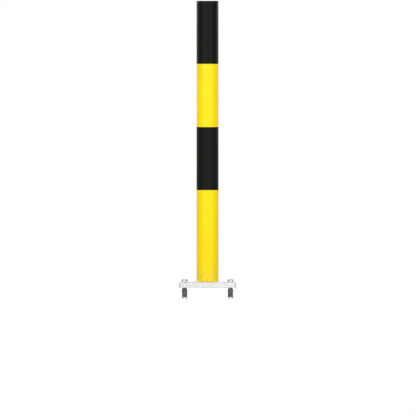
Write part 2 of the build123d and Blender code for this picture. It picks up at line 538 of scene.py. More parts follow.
@dataclass(frozen=True)
class DarkZinc(ZincPlate):
    """Die-cast shield metal, darkened and dull, with brighter rubbed high spots."""

    slot: Slot = Slot.DARK
    colour: Colour = (0.150, 0.150, 0.148)
    metallic: float = 0.90
    roughness: float = 0.25
    bloom: Colour = (0.30, 0.30, 0.29)

    def dress(self, graph: Graph, shader: bpy.types.Node) -> None:
        """Draws the casting's skin, its mottled tone and the rubbed spots.

        Args:
            graph: the material's tree.
            shader: its Principled shader.
        """
        where = self.place(graph)
        skin = graph.noise(where, scale=900.0, detail=3.0, rough=0.6)
        mottle = graph.noise(where, scale=210.0, detail=4.0, rough=0.55)
        base = self.shades(graph, mottle, dark=0.82, light=1.18)
        rubbed = graph.noise(where, scale=620.0, detail=3.0, rough=0.6).between(0.55, 0.75)
        graph.feed(shader.inputs["Base Color"], graph.colours(rubbed * 0.4, base, (*self.bloom, 1.0)))
        graph.feed(shader.inputs["Roughness"], self.roughness + skin * 0.14 - rubbed * 0.12)
        self.bump(graph, shader, skin, 0.05 * MM)


# ---- Meshes ----------------------------------------------------------------------------


def rounded(corners: Sequence[Corner], steps: int = 3) -> list[Point]:
    """Follows a closed outline and rounds each of its corners by the corner's own radius.

    Args:
        corners: the outline's corners, each with its two places and its radius.
        steps: how many straight runs stand for one rounding.

    Returns:
        The outline's points.
    """
    outline: list[Point] = []
    for number, (across, up, radius) in enumerate(corners):
        corner = Vector((across, up))
        back = Vector(corners[number - 1][:2]) - corner
        ahead = Vector(corners[(number + 1) % len(corners)][:2]) - corner
        if radius <= 0.0:
            outline.append((across, up))
            continue
        half = back.angle(ahead) / 2.0
        reach = min(radius / math.tan(half), 0.49 * min(back.length, ahead.length))
        radius = reach * math.tan(half)
        bisector = (back.normalized() + ahead.normalized()).normalized()
        centre = corner + bisector * (radius / math.sin(half))
        start = corner + back.normalized() * reach - centre
        end = corner + ahead.normalized() * reach - centre
        sweep = start.angle_signed(end)
        for step in range(steps + 1):
            turn = -sweep * step / steps
            x = start.x * math.cos(turn) - start.y * math.sin(turn)
            y = start.x * math.sin(turn) + start.y * math.cos(turn)
            outline.append((centre.x + x, centre.y + y))
    return outline


def quarter_round(radius: float, steps: int) -> list[Point]:
    """Gives a rounded edge's points as distances in and down from the edge, from its flat side over."""
    turns = [math.pi / 2.0 * step / steps for step in range(steps + 1)]
    return [(radius * (1 - math.sin(turn)), radius * (1 - math.cos(turn))) for turn in turns]


def around(count: int) -> list[float]:
    """Gives evenly spaced angles, without the one that closes the full turn."""
    return [math.tau * step / count for step in range(count)]


def on_axis(angle: float, point: Point) -> Place:
    """Places a profile's point at an angle round the Z axis."""
    radius, height = point
    return radius * math.cos(angle), radius * math.sin(angle), height


class Shell:
    """A closed mesh in the making, gathered from loops, bands, turned walls and flat fills."""

    SAME_PLACE = 1e-7
    SHARP_FROM = math.radians(35.0)

    def __init__(self) -> None:
        """Starts with nothing."""
        self.points: list[Place] = []
        self.faces: list[tuple[int, ...]] = []

    def loop(self, points: Sequence[Place]) -> list[int]:
        """Adds a row of points and gives their numbers.

        Args:
            points: the points, in order.

        Returns:
            The points' numbers.
        """
        first = len(self.points)
        self.points.extend(points)
        return list(range(first, len(self.points)))

    def band(self, first: Sequence[int], second: Sequence[int], skip: Sequence[int] = ()) -> None:
        """Joins two closed loops of the same count with a strip of four-sided faces.

        Args:
            first: the numbers of one loop's points.
            second: the numbers of the other's.
            skip: places along the loops that get no face.
        """
        count = len(first)
        for here in range(count):
            after = (here + 1) % count
            if here not in skip:
                self.faces.append((first[here], first[after], second[after], second[here]))

    def fill(self, *loops: Sequence[int]) -> None:
        """Closes the flat region inside the first loop and outside the others.

        Args:
            loops: the numbers of the outer loop's points, then of each inner loop's.
        """
        numbers = [number for loop in loops for number in loop]
        outlines = [[Vector(self.points[number]) for number in loop] for loop in loops]
        for triangle in tessellate_polygon(outlines):
            self.faces.append(tuple(numbers[corner] for corner in triangle))

    def turn(
        self,
        profile: Callable[[float], Profile],
        stations: Sequence[float],
        spot: Callable[[float, Point], Place] = on_axis,
        whole: bool = True,
    ) -> None:
        """Sweeps a closed profile through its stations round an axis.

        Args:
            profile: gives the profile at a station, always with as many points.
            stations: where the profile is drawn, such as angles.
            spot: places one point of the profile at a station.
            whole: whether the last station joins the first; if not, both ends are closed.
        """
        loops = []
        for station in stations:
            outline = profile(station)
            loops.append(self.loop([spot(station, point) for point in outline]))
        at_axis = [radius < self.SAME_PLACE for radius, _ in profile(stations[0])]
        skip = [n for n, still in enumerate(at_axis) if still and at_axis[(n + 1) % len(at_axis)]]
        for first, second in zip(loops, loops[1:]):
            self.band(first, second, skip)
        if whole:
            self.band(loops[-1], loops[0], skip)
        else:
            self.fill(loops[0])
            self.fill(loops[-1])

    def prism(self, plan: Sequence[Point], first: float, last: float) -> None:
        """Stretches a flat plan from one level to another, closed at both.

        Args:
            plan: the plan's points, in order round it.
            first: the level of one end.
            last: the level of the other.
        """
        loops = [self.loop([(x, y, level) for x, y in plan]) for level in (first, last)]
        self.band(*loops)
        for loop in loops:
            self.fill(loop)

    def mesh(self, name: str) -> bpy.types.Mesh:
        """Makes the mesh.

        Args:
            name: the mesh's name.

        Returns:
            The mesh, closed and facing outwards.
        """
        mesh = bpy.data.meshes.new(name)
        mesh.from_pydata(self.points, [], self.faces)
        return tidied(mesh)


def lathed(name: str, outline: Profile, sides: int) -> bpy.types.Mesh:
    """Turns one closed outline round the Z axis.

    Args:
        name: the mesh's name.
        outline: the outline, as distances from the axis and heights.
        sides: how many straight sides stand for the circle.

    Returns:
        The closed mesh.
    """
    shell = Shell()
    shell.turn(lambda angle: outline, around(sides))
    return shell.mesh(name)


def tidied(mesh: bpy.types.Mesh) -> bpy.types.Mesh:
    """Merges a closed mesh's doubles, faces it outwards and shades it smooth between sharp edges.

    Args:
        mesh: the mesh, which is changed.

    Returns:
        The same mesh.
    """
    work = bmesh.new()
    work.from_mesh(mesh)
    bmesh.ops.remove_doubles(work, verts=work.verts, dist=Shell.SAME_PLACE)
    bmesh.ops.recalc_face_normals(work, faces=work.faces)
    gaps = sum(1 for edge in work.edges if not edge.is_manifold)
    if gaps:
        log.warning("%s has %d edges that don't close", mesh.name, gaps)
    work.to_mesh(mesh)
    work.free()
    mesh.shade_smooth()
    mesh.set_sharp_from_angle(angle=Shell.SHARP_FROM)
    return mesh


def united(body: bpy.types.Mesh, tool: bpy.types.Mesh) -> bpy.types.Mesh:
    """Joins two overlapping closed meshes into one skin.

    Args:
        body: the mesh that is added to.
        tool: the mesh that is added.

    Returns:
        A new mesh.
    """
    holders = [bpy.data.objects.new(mesh.name, mesh) for mesh in (body, tool)]
    for holder in holders:
        bpy.context.scene.collection.objects.link(holder)
    joint = holders[0].modifiers.new("union", "BOOLEAN")
    joint.operation, joint.solver, joint.object = "UNION", "EXACT", holders[1]
    made = evaluated(holders[0])
    for holder in holders:
        bpy.data.objects.remove(holder)
    return tidied(made)


def evaluated(holder: bpy.types.Object) -> bpy.types.Mesh:
    """Gives the plain mesh that an object's modifiers make, and takes the modifiers off it.

    Args:
        holder: the object, whose own mesh stays as it is.

    Returns:
        The new mesh.
    """
    depsgraph = bpy.context.evaluated_depsgraph_get()
    made = bpy.data.meshes.new_from_object(
        holder.evaluated_get(depsgraph), preserve_all_data_layers=True, depsgraph=depsgraph
    )
    holder.modifiers.clear()
    return made


# ---- What grows by rule ----------------------------------------------------------------


class Growth:
    """A Geometry Nodes tree with named inputs, which grows a plain mesh."""

    INPUTS: dict[str, str] = {}

    def __init__(self) -> None:
        """Makes the tree with its named inputs, and lets the kind of growth fill it."""
        self.tree = bpy.data.node_groups.new(type(self).__name__, "GeometryNodeTree")
        self.graph = Graph(self.tree)
        ports = self.tree.interface
        ports.new_socket("Geometry", in_out="OUTPUT", socket_type="NodeSocketGeometry")
        kinds = {"Geometry": "NodeSocketGeometry", **self.INPUTS, "Material": "NodeSocketMaterial"}
        self.sockets = {
            name: ports.new_socket(name, in_out="INPUT", socket_type=kind).identifier
            for name, kind in kinds.items()
        }
        self.given = self.graph.add("NodeGroupInput").outputs
        real = self.graph.add("GeometryNodeRealizeInstances", None, {"Geometry": self.shape()})
        dressed = self.graph.add(
            "GeometryNodeSetMaterial",
            None,
            {"Geometry": real.outputs[0], "Material": self.given["Material"]},
        )
        self.graph.add("NodeGroupOutput", None, {0: dressed.outputs[0]})

    def shape(self) -> bpy.types.NodeSocket:
        """Adds the nodes that make the shape, and gives their geometry."""
        raise NotImplementedError

    def size(self, name: str) -> Number:
        """Gives one of the tree's own inputs as a number."""
        return Number(self.graph, self.given[name])

    def swept(
        self, path: bpy.types.Node, section: bpy.types.Node, height: Number, capped: bool = False
    ) -> bpy.types.NodeSocket:
        """Sweeps a section along a level path and raises it.

        Args:
            path: the node that gives the path, at the origin's level.
            section: the node that gives the section.
            height: the level that the path is raised to.
            capped: whether the path's two ends are closed.

        Returns:
            The swept geometry.
        """
        inputs = {"Curve": path.outputs[0], "Profile Curve": section.outputs[0], "Fill Caps": capped}
        skin = self.graph.add("GeometryNodeCurveToMesh", None, inputs)
        raised = {"Geometry": skin.outputs[0], "Translation": self.graph.join(0.0, 0.0, height)}
        return self.graph.add("GeometryNodeTransform", None, raised).outputs[0]

    def grow(
        self,
        name: str,
        material: bpy.types.Material,
        sizes: dict[str, float | int],
        seedling: bpy.types.Mesh | None = None,
    ) -> bpy.types.Mesh:
        """Grows the tree's shape.

        Args:
            name: the new mesh's name.
            material: what it is dressed in.
            sizes: a value for each of the tree's inputs.
            seedling: the mesh that goes into the tree, where it takes one.

        Returns:
            The plain mesh.
        """
        holder = bpy.data.objects.new(name, seedling or bpy.data.meshes.new(name))
        bpy.context.scene.collection.objects.link(holder)
        modifier = holder.modifiers.new(name, "NODES")
        modifier.node_group = self.tree
        for key, value in {**sizes, "Material": material}.items():
            modifier[self.sockets[key]] = value
        made = evaluated(holder)
        bpy.data.objects.remove(holder)
        made.name = name
        return tidied(made)


class RoundTube(Growth):
    """A straight round tube on the Z axis, its four rims eased."""

    INPUTS = {
        "Radius": "NodeSocketFloat",
        "Wall": "NodeSocketFloat",
        "Low": "NodeSocketFloat",
        "High": "NodeSocketFloat",
        "Rim Radius": "NodeSocketFloat",
        "Sides": "NodeSocketInt",
    }
    RIM_STEPS = 3

    def shape(self) -> bpy.types.NodeSocket:
        """Sweeps the wall's section, a tall rounded rectangle, round a circle.

        Returns:
            The socket that gives the shape.
        """
        graph = self.graph
        wall, low, high = self.size("Wall"), self.size("Low"), self.size("High")
        path = graph.add(
            "GeometryNodeCurvePrimitiveCircle",
            None,
            {"Resolution": self.given["Sides"], "Radius": self.size("Radius") - wall / 2.0},
        )
        section = graph.add(
            "GeometryNodeCurvePrimitiveQuadrilateral", None, {"Width": wall, "Height": high - low}
        )
        eased = graph.add(
            "GeometryNodeFilletCurve",
            {"mode": "POLY"},
            {"Curve": section.outputs[0], "Count": self.RIM_STEPS, "Radius": self.given["Rim Radius"]},
        )
        return self.swept(path, eased, (low + high) / 2.0)


class WeldBead(Growth):
    """A fillet weld round a foot on the Z axis: a swollen face of overlapping ripples."""

    INPUTS = {
        "Radius": "NodeSocketFloat",
        "Height": "NodeSocketFloat",
        "Leg": "NodeSocketFloat",
        "Crown": "NodeSocketFloat",
        "Ripples": "NodeSocketInt",
        "Ripple Depth": "NodeSocketFloat",
    }
    STEPS_AROUND = 1080
    STEPS_ACROSS = 14
    BOW = 0.9
    RIPPLE_SKEW = 0.6
    WANDER = 0.10
    WANDERS = 5.0
    DIAGONAL = 2.0 ** -0.5

    def shape(self) -> bpy.types.NodeSocket:
        """Bends a flat grid into the bead; its first and last rows meet in the weld's root.

        Returns:
            The socket that gives the shape.
        """
        graph = self.graph
        counts = {"Vertices X": self.STEPS_AROUND + 1, "Vertices Y": self.STEPS_ACROSS + 3}
        grid = graph.add("GeometryNodeMeshGrid", None, {"Size X": 1.0, "Size Y": 1.0, **counts})
        along, across, _ = graph.split(graph.add("GeometryNodeInputPosition").outputs[0])
        angle = (along + 0.5) * math.tau
        rows = float(self.STEPS_ACROSS + 2)
        row = graph.maths("ROUND", (across + 0.5) * rows)
        share = graph.maths("MINIMUM", graph.maths("MAXIMUM", (row - 1.0) / (rows - 2.0), 0.0), 1.0)
        root = graph.maths("GREATER_THAN", graph.maths("ABSOLUTE", row - rows / 2.0), rows / 2.0 - 0.5)
        face = 1.0 - root

        cosine, sine = graph.maths("COSINE", angle), graph.maths("SINE", angle)
        ring = graph.join(cosine, sine, 0.0)
        wander = (graph.noise(ring, scale=self.WANDERS, detail=2.0) - 0.5) * self.WANDER
        belly = share * (1.0 - share) * 4.0
        phase = graph.maths("FRACT", angle * self.size("Ripples") / math.tau + belly * self.BOW)
        ripple = (phase ** self.RIPPLE_SKEW - 0.5) * self.size("Ripple Depth")
        swell = (self.size("Crown") + ripple) * belly * self.DIAGONAL
        leg = self.size("Leg") * (1.0 + wander)
        outward = ((1.0 - share) * leg + swell) * face
        upward = (share * leg + swell) * face
        reach = self.size("Radius") + outward
        place = graph.join(cosine * reach, sine * reach, self.size("Height") + upward)
        bent = graph.add("GeometryNodeSetPosition", None, {"Geometry": grid.outputs[0], "Position": place})
        inputs = {"Geometry": bent.outputs[0], "Distance": Shell.SAME_PLACE * 10.0}
        return graph.add("GeometryNodeMergeByDistance", None, inputs).outputs[0]


class WireRing(Growth):
    """An open ring of round wire on the Z axis, its gap centred on +X."""

    INPUTS = {
        "Radius": "NodeSocketFloat",
        "Wire": "NodeSocketFloat",
        "Height": "NodeSocketFloat",
        "Gap": "NodeSocketFloat",
    }
    STEPS = 72
    SIDES = 14

    def shape(self) -> bpy.types.NodeSocket:
        """Sweeps the wire's round section along an arc and closes its two ends.

        Returns:
            The socket that gives the shape.
        """
        graph = self.graph
        gap, wire = self.size("Gap"), self.size("Wire")
        path = graph.add(
            "GeometryNodeCurveArc",
            {"mode": "RADIUS"},
            {
                "Resolution": self.STEPS,
                "Radius": self.size("Radius"),
                "Start Angle": gap / 2.0,
                "Sweep Angle": math.tau - gap,
            },
        )
        section = graph.add(
            "GeometryNodeCurvePrimitiveCircle", None, {"Resolution": self.SIDES, "Radius": wire / 2.0}
        )
        return self.swept(path, section, self.size("Height"), capped=True)


class CornerArray(Growth):
    """Copies of a piece on the four bolt axes, one or more to an axis, each with its own tone."""

    INPUTS = {
        "Spacing": "NodeSocketFloat",
        "Copies": "NodeSocketInt",
        "Seed": "NodeSocketInt",
    }
    AXES = 4
    OWN_PLACE = "own_place"
    TONE = "tone"

    def shape(self) -> bpy.types.NodeSocket:
        """Sets one instance at each point, after storing where the piece's points lie on its own axis.

        Returns:
            The socket that gives the shape.
        """
        graph = self.graph
        copies = self.size("Copies")
        number = Number(graph, graph.add("GeometryNodeInputIndex").outputs[0])
        axis = graph.maths("FLOOR", number / copies)
        turn = graph.maths("FLOORED_MODULO", number, copies) * math.tau / copies
        column, row = graph.maths("FLOORED_MODULO", axis, 2.0), graph.maths("FLOOR", axis / 2.0)
        spacing = self.size("Spacing")
        place = graph.join((column - 0.5) * spacing, (row - 0.5) * spacing, 0.0)
        points = graph.add("GeometryNodePoints", None, {"Count": copies * self.AXES, "Position": place})
        marked = graph.add(
            "GeometryNodeStoreNamedAttribute",
            {"data_type": "FLOAT_VECTOR", "domain": "POINT"},
            {
                "Geometry": self.given["Geometry"],
                "Name": self.OWN_PLACE,
                "Value": graph.add("GeometryNodeInputPosition").outputs[0],
            },
        )
        copied = graph.add(
            "GeometryNodeInstanceOnPoints",
            None,
            {
                "Points": points.outputs[0],
                "Instance": marked.outputs[0],
                "Rotation": graph.join(0.0, 0.0, turn),
            },
        )
        tone = graph.add("FunctionNodeRandomValue", {"data_type": "FLOAT"}, {"Seed": self.given["Seed"]})
        toned = graph.add(
            "GeometryNodeStoreNamedAttribute",
            {"data_type": "FLOAT", "domain": "INSTANCE"},
            {
                "Geometry": copied.outputs[0],
                "Name": self.TONE,
                "Value": next(s for s in tone.outputs if s.enabled),
            },
        )
        return toned.outputs[0]


# ---- Sub-assemblies --------------------------------------------------------------------


@dataclass(frozen=True)
class Thread:
    """A right-hand screw thread on the Z axis, its crests and roots cut flat."""

    radius: float = 6.0 * MM
    depth: float = 0.95 * MM
    pitch: float = 1.75 * MM
    rows_per_pitch: int = 8
    root_share: float = 0.12
    flank_share: float = 0.70

    def at(self, angle: float, height: float) -> float:
        """Gives the thread's radius at an angle and a height.

        Args:
            angle: the angle round the axis.
            height: the height on it.

        Returns:
            The distance from the axis.
        """
        phase = (height / self.pitch - angle / math.tau) % 1.0
        rise = 1.0 - abs(2.0 * phase - 1.0)
        ridge = min(1.0, max(0.0, (rise - self.root_share) / self.flank_share))
        return self.radius - self.depth * (1.0 - ridge)

    def rows(self, low: float, high: float) -> list[float]:
        """Gives heights from high to low, close enough together to draw the thread."""
        count = round((high - low) / self.pitch * self.rows_per_pitch)
        return [high + (low - high) * row / count for row in range(count + 1)]


@dataclass
class SubAssembly:
    """Pieces that are made and dressed together."""

    finishes: dict[Slot, bpy.types.Material]

    def build(self) -> None:
        """Makes and dresses the sub-assembly's pieces."""
        raise NotImplementedError

    def show(self, name: str, mesh: bpy.types.Mesh, slot: Slot, node: str) -> None:
        """Puts a finished mesh in the scene, in place of one of the frame's nodes.

        Args:
            name: the piece's name.
            mesh: its mesh, in place.
            slot: the slot that it takes its finish from.
            node: the frame's node that it stands for.
        """
        if not mesh.materials:
            mesh.materials.append(self.finishes[slot])
        piece = bpy.data.objects.new(name, mesh)
        bpy.context.scene.collection.objects.link(piece)
        piece.modifiers.new("even_shading", "WEIGHTED_NORMAL").keep_sharp = True
        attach(piece, BODY)
        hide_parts(node)
        log.info("%s: %d faces for %s", name, len(mesh.polygons), node)

    @staticmethod
    def levels(node: str) -> tuple[float, float]:
        """Gives a node's lowest and highest level."""
        low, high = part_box(node)
        return low.z, high.z


@dataclass
class OnBoltAxes(SubAssembly):
    """Pieces that are made once and set out on the four bolt axes."""

    spacing: float = BOLT_SPACING
    thread: Thread = field(default_factory=Thread)
    corners: CornerArray = field(default_factory=CornerArray)

    def set_out(
        self, name: str, mesh: bpy.types.Mesh, slot: Slot, node: str, seed: int, copies: int = 1
    ) -> None:
        """Sets copies of a mesh on the four axes and shows them as one piece.

        Args:
            name: the piece's name.
            mesh: one copy, on the Z axis.
            slot: the slot that the piece takes its finish from.
            node: the frame's node that it stands for.
            seed: the seed of the copies' tones.
            copies: how many there are to an axis, evenly turned.
        """
        sizes = {"Spacing": self.spacing, "Copies": copies, "Seed": seed}
        self.show(name, self.corners.grow(name, self.finishes[slot], sizes, mesh), slot, node)


@dataclass
class Post(SubAssembly):
    """The coated tube and the cap pushed into its top."""

    radius: float = TUBE_RADIUS
    wall: float = 3.2 * MM
    rim: float = 0.4 * MM
    sides: int = 224
    cap_radius: float = 38.35 * MM
    cap_edge: float = 1.2 * MM
    head_easing: float = 0.2 * MM
    gate_radius: float = 2.2 * MM
    gate_depth: float = 0.25 * MM
    skirt_wall: float = 2.0 * MM
    skirt_easing: float = 0.5 * MM
    skirt_root: float = 0.6 * MM
    fin_count: int = 4
    fin_thickness: float = 1.2 * MM
    fin_reach: float = 2.4 * MM
    fin_gap: float = 0.1 * MM
    fin_rake: float = 0.4 * MM
    fin_easing: float = 0.3 * MM
    rib_thickness: float = 1.6 * MM
    rib_bite: float = 1.0 * MM
    rib_setback: float = 0.8 * MM

    def build(self) -> None:
        """Makes the tube and the cap."""
        low, high = self.levels("post_tube")
        sizes = {
            "Radius": self.radius,
            "Wall": self.wall,
            "Low": low,
            "High": high,
            "Rim Radius": self.rim,
            "Sides": self.sides,
        }
        tube = RoundTube().grow("post", self.finishes[Slot.YELLOW], sizes)
        self.show("post", tube, Slot.YELLOW, "post_tube")
        cap = united(self.cap_body(), self.cap_rib(1.0, 0.0))
        cap = united(cap, self.cap_rib(0.0, 1.0))
        self.show("end_cap", cap, Slot.PLASTIC, "top_cap")

    @property
    def fin_radius(self) -> float:
        """The radius of the fins' rims, just inside the tube."""
        return self.radius - self.wall - self.fin_gap

    @property
    def skirt_radius(self) -> float:
        """The radius of the skirt that the fins stand on."""
        return self.fin_radius - self.fin_reach

    def cap_body(self) -> bpy.types.Mesh:
        """Turns the cap: a flat head with a gate mark, and a skirt with fins inside the tube.

        Returns:
            The cap's closed mesh, without its ribs.
        """
        low, high = self.levels("top_cap")
        seat = self.levels("post_tube")[1]
        pitch = (seat - low) / self.fin_count
        corners: list[Corner] = [
            (0.0, high - self.gate_depth, 0.0),
            (self.gate_radius, high - self.gate_depth, self.head_easing),
            (self.gate_radius + self.gate_depth, high, self.head_easing),
            (self.cap_radius, high, self.cap_edge),
            (self.cap_radius, seat, self.head_easing),
            (self.skirt_radius, seat, self.fin_easing),
        ]
        for fin in range(self.fin_count):
            top = seat - (fin + 0.5) * pitch
            corners += [
                (self.skirt_radius, top, self.fin_easing),
                (self.fin_radius, top, self.fin_easing),
                (self.fin_radius - self.fin_rake, top - self.fin_thickness, self.fin_easing),
                (self.skirt_radius, top - self.fin_thickness, self.fin_easing),
            ]
        inside = self.skirt_radius - self.skirt_wall
        corners += [
            (self.skirt_radius, low, self.skirt_easing),
            (inside, low, self.skirt_easing),
            (inside, seat, self.skirt_root),
            (0.0, seat, 0.0),
        ]
        return lathed("cap_body", rounded(corners, steps=4), self.sides)

    def cap_rib(self, along_x: float, along_y: float) -> bpy.types.Mesh:
        """Makes one of the two ribs that cross inside the skirt.

        Args:
            along_x: 1 for the rib that runs along X, otherwise 0.
            along_y: 1 for the rib that runs along Y, otherwise 0.

        Returns:
            The rib's closed mesh, which reaches into the skirt and the head.
        """
        low = self.levels("top_cap")[0]
        seat = self.levels("post_tube")[1]
        half = self.rib_thickness / 2.0
        reach = self.skirt_radius - self.skirt_wall / 2.0
        plan = [(reach, half), (-reach, half), (-reach, -half), (reach, -half)]
        turned = [(x * along_x + y * along_y, y * along_x + x * along_y) for x, y in plan]
        shell = Shell()
        shell.prism(turned, seat + self.rib_bite, low + self.rib_setback)
        return shell.mesh("cap_rib")


@dataclass
class Bands(SubAssembly):
    """The two black films, each a strip wound by hand that laps over its own start at the back."""

    radius: float = TUBE_RADIUS
    thickness: float = 0.23 * MM
    adhesive: float = 0.02 * MM
    lap: float = 14.0 * MM
    ramp: float = 3.0 * MM
    drift: float = 0.4 * MM
    steps: int = 240
    nodes: tuple[str, ...] = ("upper_black_band", "lower_black_band")

    def build(self) -> None:
        """Makes one film for each node."""
        for node in self.nodes:
            name = node.replace("black_band", "film")
            self.show(name, self.film(name, *self.levels(node)), Slot.FILM, node)

    def film(self, name: str, low: float, high: float) -> bpy.types.Mesh:
        """Winds one strip of film round the tube.

        Args:
            name: the mesh's name.
            low: the strip's lower edge.
            high: its upper edge.

        Returns:
            The strip's closed mesh.
        """
        lap_angle = self.lap / self.radius
        ramp_angle = self.ramp / self.radius
        start = (math.pi - lap_angle) / 2.0
        sweep = math.tau + lap_angle

        def section(angle: float) -> Profile:
            """Gives the strip's section where it is wound to an angle.

            Args:
                angle: the angle, which runs past a full turn at the lap.

            Returns:
                The section's four corners.
            """
            wound = angle - start
            climb = min(1.0, max(0.0, (wound - math.tau + ramp_angle) / ramp_angle))
            climb = climb * climb * (3.0 - 2.0 * climb)
            inner = self.radius + climb * (self.thickness + self.adhesive)
            outer = inner + self.thickness
            bottom = low + self.drift * wound / sweep
            return [(inner, bottom), (outer, bottom), (outer, high), (inner, high)]

        stations = [start + sweep * step / self.steps for step in range(self.steps + 1)]
        shell = Shell()
        shell.turn(section, stations, whole=False)
        return shell.mesh(name)


@dataclass
class Foot(SubAssembly):
    """The galvanised base plate and the painted weld that joins it to the tube."""

    side: float = 200.0 * MM
    corner_radius: float = 10.0 * MM
    edge_radius: float = 4.0 * MM
    under_chamfer: float = 0.8 * MM
    hole_radius: float = 7.0 * MM
    hole_easing: float = 0.5 * MM
    hole_spacing: float = BOLT_SPACING
    hole_sides: int = 72
    vent_radius: float = 20.0 * MM
    vent_easing: float = 0.8 * MM
    margin: float = 0.6 * MM
    weld_root: float = TUBE_RADIUS
    weld_leg: float = 4.0 * MM
    weld_crown: float = 0.4 * MM
    weld_ripples: int = 118
    weld_ripple_depth: float = 0.34 * MM
    edge_steps: int = 8
    hole_steps: int = 6
    corner_steps: int = 12

    def build(self) -> None:
        """Makes the plate and the weld."""
        self.show("plate", self.plate(), Slot.GALVANISED, "base_plate")
        sizes = {
            "Radius": self.weld_root,
            "Height": self.levels("foot_weld")[0],
            "Leg": self.weld_leg,
            "Crown": self.weld_crown,
            "Ripples": self.weld_ripples,
            "Ripple Depth": self.weld_ripple_depth,
        }
        bead = WeldBead().grow("weld_bead", self.finishes[Slot.YELLOW], sizes)
        self.show("weld_bead", bead, Slot.YELLOW, "foot_weld")

    def outline(self, inset: float, level: float) -> list[Place]:
        """Gives the plate's rounded square at a level, drawn in by an inset.

        Args:
            inset: how far the square is drawn in.
            level: its height.

        Returns:
            The points, in order round the square.
        """
        radius = self.corner_radius - inset
        middle = self.side / 2.0 - self.corner_radius
        points = []
        for quarter, (right, back) in enumerate(((1, 1), (-1, 1), (-1, -1), (1, -1))):
            for step in range(self.corner_steps + 1):
                angle = math.pi / 2.0 * (quarter + step / self.corner_steps)
                x = right * middle + radius * math.cos(angle)
                y = back * middle + radius * math.sin(angle)
                points.append((x, y, level))
        return points

    def hole(self, shell: Shell, centre: Point, radius: float, easing: float) -> list[list[int]]:
        """Lines one round hole through the plate.

        Args:
            shell: the plate's mesh.
            centre: where the hole's axis stands.
            radius: the hole's radius.
            easing: how wide its mouths' rounding is.

        Returns:
            The loops in the top and in the underside that the hole ends in.
        """
        low, high = self.levels("base_plate")
        lining: list[Point] = [(radius + easing + self.margin, high)]
        for inset, drop in quarter_round(easing, self.hole_steps):
            lining.append((radius + inset, high - drop))
        lining += [(reach, low + high - level) for reach, level in reversed(lining)]
        angles = around(self.hole_sides)
        loops = [
            shell.loop([(centre[0] + r * math.cos(a), centre[1] + r * math.sin(a), level) for a in angles])
            for r, level in lining
        ]
        for first, second in zip(loops, loops[1:]):
            shell.band(first, second)
        return [loops[0], loops[-1]]

    def plate(self) -> bpy.types.Mesh:
        """Makes the plate with its rounded rim, its four bolt holes and its vent.

        Returns:
            The plate's closed mesh.
        """
        low, high = self.levels("base_plate")
        shell = Shell()
        rim: list[Point] = [(self.edge_radius + self.margin, high)]
        for inset, drop in quarter_round(self.edge_radius, self.edge_steps):
            rim.append((inset, high - drop))
        rim += [
            (0.0, low + self.under_chamfer + self.margin),
            (0.0, low + self.under_chamfer),
            (self.under_chamfer, low),
            (self.under_chamfer + self.margin, low),
        ]
        loops = [shell.loop(self.outline(inset, level)) for inset, level in rim]
        for first, second in zip(loops, loops[1:]):
            shell.band(first, second)
        half = self.hole_spacing / 2.0
        holes = [
            self.hole(shell, (x, y), self.hole_radius, self.hole_easing)
            for x in (-half, half)
            for y in (-half, half)
        ]
        holes.append(self.hole(shell, (0.0, 0.0), self.vent_radius, self.vent_easing))
        shell.fill(loops[0], *(top for top, _ in holes))
        shell.fill(loops[-1], *(under for _, under in holes))
        return shell.mesh("plate")


